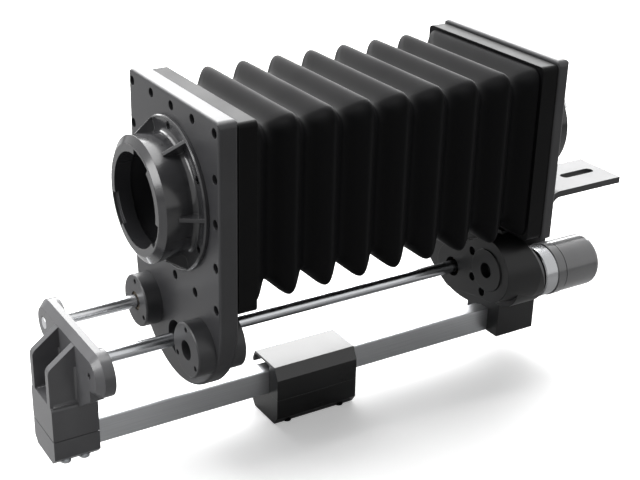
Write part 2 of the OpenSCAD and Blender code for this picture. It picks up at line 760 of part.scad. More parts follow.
module rear_plate() {
    color([0.26, 0.26, 0.27]) placed() difference() {
        plate_blank(rear_plate_x, rear_plate_t);
        bar_x(rear_plate_x - rear_plate_t, 3 * rear_plate_t, window_r, 0, optical_h);
        bar_x(rear_plate_x - rear_plate_t, 3 * rear_plate_t, drum_rear_r, -axis_half_pitch, 0);
        bar_x(rear_plate_x - rear_plate_t, 3 * rear_plate_t, drum_rim_r, knob_y, -knob_drop);
        translate([rear_plate_x - rear_plate_t, -plate_w, case_top_h - plate_w])
            cube([3 * rear_plate_t, plate_w - axis_half_pitch, plate_w]);
        bar_x(rear_plate_x - rear_plate_t, 3 * rear_plate_t, rod_r, axis_half_pitch, 0);
        bar_x(rear_plate_x - rear_plate_t, 3 * rear_plate_t, screw_bush_r, 0, -screw_drop);
        frame_screw_places() {
            bar_x(rear_face_x - frame_head_sink - frame_head_t, rear_plate_t,
                  frame_head_r + screw_gap, 0, 0);
            bar_x(rear_plate_x - rear_plate_t, 2 * rear_plate_t, frame_shank_r + screw_gap, 0, 0);
        }
        camera_screw_places() bar_x(rear_plate_x, 2 * rear_plate_t, frame_shank_r + screw_gap, 0, 0);
    }
}

module rear_frame_screws() {
    color([0.12, 0.12, 0.12]) placed() frame_screw_places()
        translate([rear_face_x - frame_head_sink, 0, 0]) rotate([0, 0, 180])
            socket_screw(frame_head_r, frame_head_t, frame_shank_r, frame_t / 2 + rear_plate_t - frame_head_sink - frame_head_t);
}

module bellows_rear_frame() {
    color([0.1, 0.1, 0.1]) placed() difference() {
        end_frame(rear_frame_x);
        frame_screw_places() bar_x(rear_plate_x - frame_t / 2 - screw_gap, frame_t, frame_shank_r + screw_gap, 0, 0);
    }
}

// Outline of the rear block and of the bracket's leg: clear of the knob
module clear_of_knob() {
    difference() {
        children();
        translate([knob_y, -knob_drop]) circle(knob_ring_r + knob_room);
    }
}

module rear_rail_block() {
    upper_drop = plate_w / 2 - plate_round_h + slide_gap;
    color([0.16, 0.16, 0.17]) placed() difference() {
        union() {
            along_x(rear_face_x, rear_block_l) clear_of_knob() polygon([
                [-block_w / 2, -rail_floor], [block_w / 2, -rail_floor],
                [block_w / 2, rear_block_top], [-block_w / 2, rear_block_top]
            ]);
            along_x(rear_face_x - rear_block_step, 2 * rear_block_step) polygon([
                [-block_w / 2, -rail_floor], [block_w / 2, -rail_floor],
                [block_w / 2, -upper_drop], [-block_w / 2, -upper_drop]
            ]);
        }
        mortise(rear_face_x - rear_block_l, 2 * rear_block_l - tenon_stop);
        for (x = rear_block_screw_x()) translate([x, 0, -rail_floor - rail_h / 2])
            cylinder(h = rail_h, r = block_shank_r + screw_gap);
        bracket_screw_places() bar_x(-rear_block_l / 2, rear_block_l, block_shank_r + screw_gap, 0, 0);
    }
}

module rear_block_screws() {
    color([0.3, 0.3, 0.31]) placed() for (x = rear_block_screw_x())
        translate([x, 0, -rail_floor - block_head_t]) rotate([0, -90, 0])
            socket_screw(block_head_r * 3 / 4, block_head_t, block_shank_r, tenon_floor + block_shank_r * 5 / 2);
}

// Three screws round the camera mount's flange
module camera_screw_places() {
    for (a = [30, 150, 270]) translate([0, (camera_flange_r + camera_neck_r) / 2 * cos(a),
        optical_h + (camera_flange_r + camera_neck_r) / 2 * sin(a)]) children();
}

module camera_mount_ring() {
    e = rear_face_x;
    color([0.1, 0.1, 0.11]) placed() difference() {
        turned_x(0, optical_h) difference() {
            union() {
                translate([0, e]) square([camera_flange_r, camera_flange_t]);
                translate([0, e]) square([camera_neck_r, camera_mount_l]);
                translate([0, e + camera_mount_l - camera_ring_l]) square([camera_ring_r, camera_ring_l]);
            }
            translate([0, e - camera_mount_l]) square([camera_tube_r - camera_tube_t, 3 * camera_mount_l]);
            translate([0, camera_face_x - camera_tube_in]) square([camera_tube_r, 2 * camera_tube_in]);
        }
        camera_screw_places() bar_x(e - rear_plate_t, 2 * rear_plate_t, frame_shank_r + screw_gap, 0, 0);
    }
}

module camera_mount_screws() {
    color([0.3, 0.3, 0.31]) placed() camera_screw_places()
        translate([rear_face_x + camera_flange_t + frame_head_t / 2, 0, 0]) rotate([0, 0, 180])
            socket_screw(frame_head_r, frame_head_t / 2, frame_shank_r, camera_flange_t + rear_plate_t * 3 / 4);
}

// Ring sector outline between two radii and two angles
module sector(r1, r2, a1, a2) {
    difference() {
        intersection() {
            circle(r2);
            polygon([[0, 0], 2 * r2 * [cos(a1), sin(a1)],
                     3 * r2 * [cos((a1 + a2) / 2), sin((a1 + a2) / 2)], 2 * r2 * [cos(a2), sin(a2)]]);
        }
        circle(r1);
    }
}

module camera_bayonet() {
    tab_x = camera_face_x + camera_tube_l - camera_tab_t;
    color([0.75, 0.76, 0.78]) placed() {
        difference() {
            bar_x(camera_face_x - camera_tube_in, camera_tube_in + camera_tube_l, camera_tube_r, 0, optical_h);
            bar_x(camera_face_x - 2 * camera_tube_in, 4 * camera_tube_in, camera_tube_r - camera_tube_t, 0, optical_h);
        }
        for (a = [-20, 100, 220]) along_x(tab_x, camera_tab_t) translate([0, optical_h])
            sector(camera_tube_r - camera_tube_t / 2, camera_tube_r + camera_tab_w, a, a + 50);
    }
}

// Places of the two screws that hold the camera bracket's leg
module bracket_screw_places() {
    for (z = [-screw_drop * 2, 0]) translate([rear_block_end_x, block_w / 4, z]) children();
}

module camera_bracket() {
    x1 = rear_block_end_x;
    low = shelf_top_h - sheet_t;
    outer_r = bend_r + sheet_t;
    color([0.27, 0.27, 0.28]) placed() difference() {
        intersection() {
            along_y(shelf_w) difference() {
                union() {
                    translate([x1, -leg_drop]) square([sheet_t, leg_drop + shelf_top_h - outer_r]);
                    translate([x1 + outer_r, low]) square([shelf_l - outer_r, sheet_t]);
                    intersection() {
                        translate([x1 + outer_r, shelf_top_h - outer_r]) circle(outer_r);
                        translate([x1, shelf_top_h - outer_r]) square([outer_r, outer_r]);
                    }
                }
                translate([x1 + outer_r, shelf_top_h - outer_r]) circle(bend_r);
            }
            union() {
                translate([x1, -block_w / 2, -leg_drop]) cube([shelf_l, block_w, leg_drop + shelf_top_h]);
                translate([x1, -shelf_w / 2, low - outer_r]) cube([shelf_l, shelf_w, 2 * outer_r]);
            }
        }
        bar_x(x1 - sheet_t, sheet_t + outer_r, knob_ring_r + knob_room, knob_y, -knob_drop);
        translate([x1 + slot_start + slot_w / 2, -slot_w / 2, low - sheet_t])
            cube([slot_l - slot_w, slot_w, 3 * sheet_t]);
        for (x = [slot_w / 2, slot_l - slot_w / 2])
            translate([x1 + slot_start + x, 0, low - sheet_t]) cylinder(h = 3 * sheet_t, r = slot_w / 2);
        bracket_screw_places() bar_x(-sheet_t, 3 * sheet_t, block_shank_r + screw_gap, 0, 0);
    }
}

module bracket_screws() {
    color([0.35, 0.35, 0.36]) placed() bracket_screw_places()
        translate([sheet_t + block_head_t * 2, 0, 0]) rotate([0, 0, 180])
            socket_screw(block_head_r, block_head_t * 2, block_shank_r, sheet_t + rear_block_l / 3);
}

// Bellows: rings of a rounded square whose half width follows the folds
steps_per_pleat = 9;
corner_steps = 4;
rings = pleats * steps_per_pleat;
ring_points = 4 * (corner_steps + 1);

function fold_wave(i) = asin(fold_share * cos(360 * i / steps_per_pleat)) / asin(fold_share);
function fold_half(i) = (ridge_half_w + valley_half_w + (ridge_half_w - valley_half_w) * fold_wave(i)) / 2;
function fold_corner(i) = (ridge_corner_r + valley_corner_r + (ridge_corner_r - valley_corner_r) * fold_wave(i)) / 2;
function square_ring(x, half, r) = [
    for (c = [0:3]) for (k = [0:corner_steps])
        let (a = 90 * c + 90 * k / corner_steps, m = 90 * c + 45, d = (half - r) * sqrt(2))
        [x, d * cos(m) + r * cos(a), optical_h + d * sin(m) + r * sin(a)]
];

module bellows() {
    len = bellows_l - soft_gap;
    x0 = bellows_x + soft_gap;
    x1 = rear_frame_x;
    // Flat cuffs at both ends lie against the end frames
    function cuff(x) = square_ring(x, valley_half_w - skin_t, ridge_corner_r);
    outer = [for (i = [0:rings]) each square_ring(x0 + len * i / rings, fold_half(i), fold_corner(i))];
    inner = concat(cuff(x0), cuff(x0 + skin_t),
        [for (i = [1:rings - 1]) each square_ring(x0 + len * i / rings, fold_half(i) - skin_t,
                                                 fold_corner(i) - skin_t)],
        cuff(x1 - skin_t), cuff(x1));
    n = ring_points;
    m = len(outer);
    last = rings + 2;
    function at(i, k) = i * n + k % n;
    wall = [for (i = [0:rings - 1]) for (k = [0:n - 1]) each [
        [at(i, k), at(i + 1, k), at(i + 1, k + 1)], [at(i, k), at(i + 1, k + 1), at(i, k + 1)]]];
    lining = [for (i = [0:last - 1]) for (k = [0:n - 1]) each [
        [m + at(i, k), m + at(i + 1, k + 1), m + at(i + 1, k)],
        [m + at(i, k), m + at(i, k + 1), m + at(i + 1, k + 1)]]];
    front = [for (k = [0:n - 1]) each [
        [at(0, k), at(0, k + 1), m + at(0, k + 1)], [at(0, k), m + at(0, k + 1), m + at(0, k)]]];
    back = [for (k = [0:n - 1]) each [
        [at(rings, k), m + at(last, k + 1), at(rings, k + 1)],
        [at(rings, k), m + at(last, k), m + at(last, k + 1)]]];
    color([0.06, 0.06, 0.06]) placed()
        polyhedron(points = concat(outer, inner), faces = concat(wall, lining, front, back));
}

module front_plate() {
    grip = front_plate_t * 2;
    color([0.27, 0.27, 0.28]) placed() difference() {
        plate_blank(0, front_plate_t);
        bar_x(-grip, 2 * grip, window_r, 0, optical_h);
        bar_x(-grip, 2 * grip, nut_r, 0, -screw_drop);
        for (s = [-1, 1]) bar_x(-grip, 2 * grip, bearing_r, s * axis_half_pitch, 0);
        frame_screw_places() {
            bar_x(-frame_head_sink, 2 * frame_head_sink + frame_head_t, frame_head_r + screw_gap, 0, 0);
            bar_x(-frame_head_sink, grip, frame_shank_r + screw_gap, 0, 0);
        }
        lens_screw_places() bar_x(-lens_flange_t, lens_flange_t + front_plate_t / 2, frame_shank_r + screw_gap, 0, 0);
    }
}

module front_frame_screws() {
    color([0.1, 0.1, 0.1]) placed() frame_screw_places() translate([frame_head_sink, 0, 0])
        socket_screw(frame_head_r, frame_head_t, frame_shank_r, front_plate_t - frame_head_sink - frame_head_t + frame_t / 2);
}

module bellows_front_frame() {
    color([0.1, 0.1, 0.1]) placed() difference() {
        end_frame(front_frame_x);
        frame_screw_places() bar_x(0, front_frame_x + frame_t / 2 + screw_gap, frame_shank_r + screw_gap, 0, 0);
    }
}

// Flange screws of the lens mount, between the gussets
lens_screw_circle_share = 0.93;
module lens_screw_places() {
    r = lens_screw_circle_share * (lens_flange_r - lens_rim_w);
    for (i = [0:gussets - 1]) translate([0, r * cos(180 / gussets + 360 / gussets * i),
        optical_h + r * sin(180 / gussets + 360 / gussets * i)]) children();
}

module lens_mount() {
    face = -lens_flange_t + lens_rim_step;
    bevel_x = lens_bevel_l - lens_mount_l;
    color([0.13, 0.13, 0.14]) placed() difference() {
        union() {
            turned_x(0, optical_h) difference() {
                union() {
                    polygon([
                        [0, 0], [lens_flange_r, 0], [lens_flange_r, lens_rim_step - lens_flange_t],
                        [lens_flange_r - lens_rim_step, -lens_flange_t],
                        [lens_flange_r - lens_rim_w, -lens_flange_t],
                        [lens_flange_r - lens_rim_w, face], [lens_root_r, face],
                        [lens_root_r, face - lens_fillet_r], [lens_neck_r, bevel_x],
                        [lens_seat_r, -lens_mount_l], [0, -lens_mount_l]
                    ]);
                    difference() {
                        translate([lens_root_r - lens_fillet_r / 4, face - lens_fillet_r])
                            square([lens_fillet_r * 5 / 4, lens_fillet_r]);
                        translate([lens_root_r + lens_fillet_r, face - lens_fillet_r]) circle(lens_fillet_r);
                    }
                }
                translate([0, -2 * lens_mount_l]) square([window_r, 3 * lens_mount_l]);
                translate([0, -2 * lens_mount_l]) square([lens_seat_r, lens_mount_l + lens_ring_l]);
            }
            for (i = [0:gussets - 1]) translate([0, 0, optical_h]) rotate([360 / gussets * i - 90, 0, 0])
                along_y(gusset_t) polygon([
                    [face / 2, lens_seat_r + lens_rim_w], [face / 2, lens_flange_r - lens_rim_step],
                    [-lens_flange_t, lens_flange_r - lens_rim_step],
                    [-gusset_l, lens_neck_r], [-gusset_l, lens_seat_r + lens_rim_w]
                ]);
        }
        lens_screw_places() {
            bar_x(-lens_mount_l / 2, lens_mount_l / 2 - lens_rim_step, frame_head_r * 4 / 5 + screw_gap, 0, 0);
            bar_x(-lens_mount_l / 2, lens_mount_l, frame_shank_r + screw_gap, 0, 0);
        }
    }
}

module lens_mount_screws() {
    color([0.35, 0.35, 0.36]) placed() lens_screw_places() translate([-lens_rim_step - frame_head_t / 2, 0, 0])
        socket_screw(frame_head_r * 4 / 5, frame_head_t / 2, frame_shank_r, front_plate_t / 3);
}

module lens_bayonet() {
    color([0.2, 0.2, 0.21]) placed() difference() {
        bar_x(-lens_mount_l, lens_ring_l, lens_seat_r, 0, optical_h);
        bar_x(-2 * lens_mount_l, 2 * lens_mount_l, throat_r, 0, optical_h);
        for (a = [[93, 128], [188, 220], [311, 350]])
            along_x(-lens_mount_l - lens_recess_d, 2 * lens_recess_d) translate([0, optical_h])
                sector(throat_r * 9 / 10, lens_recess_r, a[0], a[1]);
    }
}

// Small screws in the bearing housings' front faces
bearing_screw_share = 0.8;
module bearing_screw_places(side) {
    for (a = [90, 210, 330]) translate([0, side * axis_half_pitch + bearing_screw_share * bearing_r * cos(a),
        bearing_screw_share * bearing_r * sin(a)]) children();
}

module bearing_housing(side) {
    rim = lens_rim_step;
    difference() {
        union() {
            cone_x(-bearing_front_l, rim, bearing_r - rim, bearing_r, side * axis_half_pitch, 0);
            bar_x(rim - bearing_front_l, bearing_front_l + bearing_back_l - rim, bearing_r, side * axis_half_pitch, 0);
        }
        bar_x(-2 * bearing_front_l, 2 * bearing_front_l + 2 * bearing_back_l, bearing_bore_r, side * axis_half_pitch, 0);
        bearing_screw_places(side) bar_x(-2 * bearing_front_l, 2 * bearing_front_l, frame_shank_r + screw_gap, 0, 0);
    }
}

module bearing_housing_near() {
    color([0.22, 0.22, 0.23]) placed() bearing_housing(-1);
}

module bearing_housing_far() {
    color([0.22, 0.22, 0.23]) placed() bearing_housing(1);
}

module bearing_housing_screws() {
    color([0.12, 0.12, 0.12]) placed() for (side = [-1, 1]) bearing_screw_places(side)
        bar_x(frame_head_t - bearing_front_l, bearing_front_l - frame_head_t, frame_shank_r, 0, 0);
}

module guide_bushes() {
    color([0.72, 0.55, 0.28]) placed() difference() {
        union() {
            bar_x(lens_rim_step - bearing_front_l, slide_bush_l, bearing_bore_r, axis_half_pitch, 0);
            bar_x(bearing_back_l - slide_bush_l, slide_bush_l, bearing_bore_r, axis_half_pitch, 0);
        }
        bar_x(-2 * bearing_front_l, 2 * bearing_front_l + 2 * bearing_back_l, rod_r + run_gap, axis_half_pitch, 0);
    }
}

module drive_nut() {
    rim = lens_rim_step;
    color([0.16, 0.14, 0.11]) placed() difference() {
        union() {
            cone_x(nut_recess, rim, nut_r - rim, nut_r, 0, -screw_drop);
            bar_x(nut_recess + rim, nut_l - rim, nut_r, 0, -screw_drop);
        }
        bar_x(-nut_l, 4 * nut_l, rod_r + run_gap, 0, -screw_drop);
    }
}

module focus_knob() {
    ring_end = knob_x + knob_ring_l;
    color([0.14, 0.14, 0.15]) placed() difference() {
        turned_x(knob_y, -knob_drop) {
            translate([0, knob_x]) square([knob_ring_r, knob_ring_l]);
            translate([0, ring_end - knob_groove_w]) square([knob_r - knob_groove_d, 3 * knob_groove_w]);
            translate([0, ring_end + knob_groove_w]) square([knob_r, knob_l - knob_ring_l - knob_groove_w - knob_round_r]);
            translate([0, knob_end_x - 2 * knob_round_r]) square([knob_r - knob_round_r, 2 * knob_round_r]);
            translate([knob_r - knob_round_r, knob_end_x - knob_round_r]) circle(knob_round_r);
        }
        bar_x(knob_x - knob_l, knob_l + knob_l * 2 / 3, rod_r, knob_y, -knob_drop);
    }
}

module knob_collar() {
    color([0.82, 0.83, 0.84]) placed() difference() {
        union() {
            cone_x(collar_x, lens_rim_step, collar_r - lens_rim_step, collar_r, knob_y, -knob_drop);
            bar_x(collar_x + lens_rim_step, collar_l - lens_rim_step, collar_r, knob_y, -knob_drop);
        }
        bar_x(collar_x - collar_l, 3 * collar_l, rod_r, knob_y, -knob_drop);
    }
}

module knob_shaft() {
    start = drum_x + face_bore_d + bush_wall + gear_room;
    color([0.7, 0.71, 0.72]) placed()
        bar_x(start, knob_x + knob_l * 2 / 3 - start, rod_r, knob_y, -knob_drop);
}

// Involute gear outline, its first tooth centred on the angle given
function inv_angle(a) = tan(a) * 180 / PI - a;
function flank_at(rp, r) = let (base = rp * cos(pressure_angle)) r <= base ? inv_angle(pressure_angle)
    : inv_angle(pressure_angle) - inv_angle(acos(base / r));

module gear_outline(teeth, turn) {
    rp = gear_module * teeth / 2;
    base = rp * cos(pressure_angle);
    tip_r = rp + gear_module * 9 / 10;
    root_r = rp - gear_module * 5 / 4;
    start_r = max(base, root_r);
    half_tooth = 90 / teeth - gear_play / rp * 90 / PI;
    radii = [for (k = [0:flank_steps]) start_r + (tip_r - start_r) * k / flank_steps];
    polygon([for (t = [0:teeth - 1]) each concat(
        [let (a = turn + 360 / teeth * t - half_tooth - flank_at(rp, start_r)) root_r * [cos(a), sin(a)]],
        [for (k = [0:flank_steps]) let (r = radii[k], a = turn + 360 / teeth * t - half_tooth - flank_at(rp, r))
            r * [cos(a), sin(a)]],
        [for (k = [0:flank_steps]) let (r = radii[flank_steps - k], a = turn + 360 / teeth * t + half_tooth + flank_at(rp, r))
            r * [cos(a), sin(a)]],
        [let (a = turn + 360 / teeth * t + half_tooth + flank_at(rp, start_r)) root_r * [cos(a), sin(a)]]
    )]);
}

module knob_gear() {
    color([0.75, 0.6, 0.32]) placed() translate([0, knob_y, -knob_drop]) along_x(gear_x, gear_w) difference() {
        gear_outline(knob_teeth, mesh_angle);
        circle(rod_r);
    }
}

module screw_gear() {
    color([0.75, 0.6, 0.32]) placed() translate([0, 0, -screw_drop]) along_x(gear_x, gear_w) difference() {
        gear_outline(screw_teeth, mesh_angle + 180 + 180 / screw_teeth);
        circle(rod_r);
    }
}

module drive_screw() {
    start = -web_gap - web_t * 3 / 4 + gear_room;
    tip = rod_r / 8;
    end = rear_face_x - rear_plate_t / 4;
    color([0.8, 0.81, 0.82]) placed() {
        cone_x(start, tip, rod_r - tip, rod_r, 0, -screw_drop);
        bar_x(start + tip, end - start - 2 * tip, rod_r, 0, -screw_drop);
        cone_x(end - tip, tip, rod_r, rod_r - tip, 0, -screw_drop);
    }
}

module foot_saddle() {
    half = foot_w / 2;
    flat = foot_top_w / 2;
    top = -foot_top_drop;
    low = -foot_part_drop;
    inner = rail_w / 2 + slide_gap;
    slope = (half - flat) / shoulder_h;
    lip_y = flat + slope * (shoulder_h - lip_h);
    color([0.15, 0.15, 0.16]) placed() difference() {
        along_x(foot_start, foot_l) polygon([
            [-half, low], [-half, top - shoulder_h], [-flat, top], [flat, top],
            [lip_y, top - shoulder_h + lip_h], [lip_y, top - shoulder_h],
            [lip_y - saddle_t, top - shoulder_h], [lip_y - saddle_t, top - shoulder_h + lip_h + saddle_t / 2],
            [flat - saddle_t / 2, top - saddle_t], [-inner, top - saddle_t], [-inner, low]
        ]);
        foot_screw_places(-1) translate([0, 0, -foot_drop]) cylinder(h = foot_base_h + rail_h / 2, r = frame_shank_r + screw_gap);
    }
}

// Screws that join the foot's base to the saddle and to the far cheek
module foot_screw_places(side) {
    for (x = [foot_l / 6, foot_l * 5 / 6])
        translate([foot_start + x, side * (foot_w / 2 - foot_bevel_w - frame_head_r / 3), 0]) children();
}

module foot_base() {
    half = foot_w / 2;
    top = -foot_part_drop;
    inner = rail_w / 2 + slide_gap;
    color([0.15, 0.15, 0.16]) placed() difference() {
        along_x(foot_start, foot_l) polygon([
            [-half, top], [-half, foot_bevel_h - foot_drop], [foot_bevel_w - half, -foot_drop],
            [half - foot_bevel_w, -foot_drop], [half, foot_bevel_h - foot_drop], [half, top],
            [inner + cheek_t, top], [inner + cheek_t, top + cheek_h], [inner, top + cheek_h], [inner, top]
        ]);
        foot_screw_places(-1) {
            translate([0, 0, -foot_drop - frame_head_t]) cylinder(h = 2 * frame_head_t + screw_gap, r = frame_head_r + screw_gap);
            translate([0, 0, -foot_drop]) cylinder(h = 2 * foot_base_h, r = frame_shank_r + screw_gap);
        }
        translate([foot_start + foot_l / 2, 0, -foot_drop - tripod_bush_l])
            cylinder(h = 2 * tripod_bush_l, r = tripod_bush_r);
    }
}

module foot_screws() {
    color([0.1, 0.1, 0.1]) placed() foot_screw_places(-1)
        translate([0, 0, -foot_drop + screw_gap]) rotate([0, -90, 0])
            socket_screw(frame_head_r, frame_head_t, frame_shank_r, foot_base_h - frame_head_t + rail_h / 3);
}

module tripod_bush() {
    color([0.72, 0.55, 0.28]) placed() translate([foot_start + foot_l / 2, 0, -foot_drop]) difference() {
        cylinder(h = tripod_bush_l, r = tripod_bush_r);
        translate([0, 0, -tripod_bush_l]) cylinder(h = 2 * tripod_bush_l - tripod_r / 2, r = tripod_r);
    }
}

rail_bar();
front_end_bracket();
front_rail_jaw();
front_jaw_screws();
screw_front_bush();
guide_rod();
gear_housing();
bearing_face_screws();
gear_housing_cover();
knob_shaft_bushes();
screw_rear_bushes();
rear_plate();
rear_frame_screws();
bellows_rear_frame();
rear_rail_block();
rear_block_screws();
camera_mount_ring();
camera_mount_screws();
camera_bayonet();
camera_bracket();
bracket_screws();
bellows();
front_plate();
front_frame_screws();
bellows_front_frame();
lens_mount();
lens_mount_screws();
lens_bayonet();
bearing_housing_near();
bearing_housing_far();
bearing_housing_screws();
guide_bushes();
drive_nut();
focus_knob();
knob_collar();
knob_shaft();
knob_gear();
drive_screw();
screw_gear();
foot_saddle();
foot_base();
foot_screws();
tripod_bush();
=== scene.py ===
import bpy
import numpy as np
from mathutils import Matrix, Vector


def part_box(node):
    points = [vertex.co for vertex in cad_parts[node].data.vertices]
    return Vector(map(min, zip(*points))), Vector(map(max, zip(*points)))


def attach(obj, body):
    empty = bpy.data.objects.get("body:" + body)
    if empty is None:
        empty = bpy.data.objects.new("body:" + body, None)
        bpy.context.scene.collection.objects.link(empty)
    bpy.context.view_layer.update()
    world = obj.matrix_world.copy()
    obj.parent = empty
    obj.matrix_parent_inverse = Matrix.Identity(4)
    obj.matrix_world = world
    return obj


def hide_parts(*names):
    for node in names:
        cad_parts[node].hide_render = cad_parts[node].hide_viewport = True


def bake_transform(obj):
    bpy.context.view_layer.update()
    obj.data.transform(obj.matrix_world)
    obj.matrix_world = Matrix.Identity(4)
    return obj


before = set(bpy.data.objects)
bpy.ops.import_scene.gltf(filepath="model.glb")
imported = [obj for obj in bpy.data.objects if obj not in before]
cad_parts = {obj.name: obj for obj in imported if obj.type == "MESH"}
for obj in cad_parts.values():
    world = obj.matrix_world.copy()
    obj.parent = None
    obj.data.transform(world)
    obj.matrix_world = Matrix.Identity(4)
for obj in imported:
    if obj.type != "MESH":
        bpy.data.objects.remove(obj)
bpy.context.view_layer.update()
MM = 0.001

# Guide rod
# An 8 mm ground steel rod with a hard chrome skin. It carries the front standard on two slide bushes and
# is pressed into the front bracket, the gear housing and the rear plate. The camera's bayonet ring wears
# the same chrome.


def srgb(code):
    """Turns an sRGB hex colour into linear red, green, blue and alpha."""
    parts = np.array([int(code[i:i + 2], 16) / 255 for i in (1, 3, 5)])
    linear = np.where(parts <= 0.04045, parts / 12.92, ((parts + 0.055) / 1.055) ** 2.4)
    return [float(value) for value in linear] + [1.0]


def add_node(tree, kind, settings=None, links=None):
    """Adds one shader node: attributes and socket values from settings, sockets joined from links."""
    node = tree.nodes.new(kind)
    for name, value in (settings or {}).items():
        if isinstance(name, str) and hasattr(node, name):
            setattr(node, name, value)
        else:
            node.inputs[name].default_value = value
    for socket, source in (links or {}).items():
        tree.links.new(source, node.inputs[socket])
    return node


def new_material(name):
    """Starts a material and gives its node tree, its Principled shader and its Object coordinates."""
    material = bpy.data.materials.new(name)
    material.use_nodes = True
    tree = material.node_tree
    tree.nodes.clear()
    shader = add_node(tree, "ShaderNodeBsdfPrincipled")
    add_node(tree, "ShaderNodeOutputMaterial", links={"Surface": shader.outputs[0]})
    place = add_node(tree, "ShaderNodeTexCoord").outputs["Object"]
    return material, tree, shader, place


def set_shader(shader, **values):
    """Sets constant values on a Principled shader, with underscores for spaces in the socket names."""
    for name, value in values.items():
        shader.inputs[name.replace("_", " ")].default_value = value


def finish(material, *names):
    """Gives a material to CAD nodes."""
    for name in names:
        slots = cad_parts[name].data.materials
        slots.clear()
        slots.append(material)


def ground_chrome(name, rings, tint):
    """Hard chrome on ground steel: a soft mirror with fine rings that run across its length."""
    material, tree, shader, place = new_material(name)
    broad = 1 / (83 * MM)
    across = add_node(tree, "ShaderNodeMapping", {"Scale": (1 / (rings * MM), broad, broad)},
                      {"Vector": place})
    ring = add_node(tree, "ShaderNodeTexNoise", {"Scale": 1.0, "Detail": 3.0},
                    {"Vector": across.outputs[0]})
    gloss = add_node(tree, "ShaderNodeMapRange", {"To Min": 0.2, "To Max": 0.27},
                     {"Value": ring.outputs[0]})
    tree.links.new(gloss.outputs[0], shader.inputs["Roughness"])
    bump = add_node(tree, "ShaderNodeBump", {"Strength": 0.03, "Distance": 0.02 * MM},
                    {"Height": ring.outputs[0]})
    tree.links.new(bump.outputs[0], shader.inputs["Normal"])
    set_shader(shader, Base_Color=srgb(tint), Metallic=1.0)
    return material


# Grinding rings are about 0.05 mm apart, drawn at 0.6 mm so that they show
chrome = ground_chrome("ground_hard_chrome", rings=0.6, tint="#e6e7e9")
finish(chrome, "guide_rod", "camera_bayonet")

# Rail bar
# A flat bar of drawn aluminium, brushed along its length and clear anodised. Both ends sit in mortises of
# the front bracket and of the rear block, and the tripod foot slides on it.


def brushed_aluminium(name, tint, line, rough):
    """Anodised aluminium: long fine lines along X from a stretched noise, which vary gloss and colour."""
    material, tree, shader, place = new_material(name)
    fine = 1 / (line * MM)
    long = 1 / (55 * MM)
    along = add_node(tree, "ShaderNodeMapping", {"Scale": (long, fine, fine)}, {"Vector": place})
    lines = add_node(tree, "ShaderNodeTexNoise", {"Scale": 1.0, "Detail": 4.0, "Roughness": 0.6},
                     {"Vector": along.outputs[0]})
    colour = add_node(tree, "ShaderNodeMixRGB", {"Color1": srgb(tint), "Color2": srgb("#c0c2c5")},
                      {"Fac": lines.outputs[0]})
    tree.links.new(colour.outputs[0], shader.inputs["Base Color"])
    gloss = add_node(tree, "ShaderNodeMapRange", {"To Min": rough - 0.08, "To Max": rough + 0.1},
                     {"Value": lines.outputs[0]})
    tree.links.new(gloss.outputs[0], shader.inputs["Roughness"])
    bump = add_node(tree, "ShaderNodeBump", {"Strength": 0.25, "Distance": 0.04 * MM},
                    {"Height": lines.outputs[0]})
    tree.links.new(bump.outputs[0], shader.inputs["Normal"])
    set_shader(shader, Metallic=1.0)
    return material


# Brush lines are about 0.1 mm apart, drawn at 0.5 mm so that they show
rail_aluminium = brushed_aluminium("brushed_anodised_aluminium", "#e2e3e5", line=0.5, rough=0.38)
finish(rail_aluminium, "rail_bar")

# Front end bracket and rail jaw
# Two die castings in glossy stove enamel. The bracket holds the guide rod and the drive screw in its lugs,
# and the jaw is screwed up against it round the end of the rail.


def enamel(name, tint, rough, grain, depth, coat, gleam=0.5):
    """Sprayed paint on a casting: a faint orange peel, slow shade changes and softly rounded edges. The
    grain and the depth of the peel are in millimetres, and the coat is a clear lacquer over the paint."""
    material, tree, shader, place = new_material(name)
    peel = add_node(tree, "ShaderNodeTexNoise", {"Scale": 1 / (grain * MM), "Detail": 3.0},
                    {"Vector": place})
    cloud = add_node(tree, "ShaderNodeTexNoise", {"Scale": 1 / (22 * MM), "Detail": 2.0}, {"Vector": place})
    shade = add_node(tree, "ShaderNodeMapRange",
                     {"From Min": 0.3, "From Max": 0.7, "To Min": 0.9, "To Max": 1.1},
                     {"Value": cloud.outputs[0]})
    colour = add_node(tree, "ShaderNodeMixRGB", {"blend_type": "MULTIPLY", "Fac": 1.0, "Color1": srgb(tint)},
                      {"Color2": shade.outputs[0]})
    tree.links.new(colour.outputs[0], shader.inputs["Base Color"])
    gloss = add_node(tree, "ShaderNodeMapRange", {"To Min": rough - 0.05, "To Max": rough + 0.07},
                     {"Value": cloud.outputs[0]})
    tree.links.new(gloss.outputs[0], shader.inputs["Roughness"])
    edge = add_node(tree, "ShaderNodeBevel", {"samples": 6, "Radius": 0.5 * MM})
    bump = add_node(tree, "ShaderNodeBump", {"Strength": 0.5, "Distance": depth * MM},
                    {"Height": peel.outputs[0], "Normal": edge.outputs[0]})
    tree.links.new(bump.outputs[0], shader.inputs["Normal"])
    set_shader(shader, Coat_Weight=coat, Coat_Roughness=0.12, Specular_IOR_Level=gleam)
    return material


bracket_enamel = enamel("glossy_stove_enamel", "#59595b", rough=0.3, grain=1.2, depth=0.02, coat=0.25)
finish(bracket_enamel, "front_end_bracket", "front_rail_jaw")

# Bracket, block and mount screws
# Plated socket head screws in groups, which hold the castings together and show as small steel heads. The
# screws of the end frames, the bearings, the lens mount and the foot are blackened, as is the drive nut.
# The knob's shaft is of the bright steel.


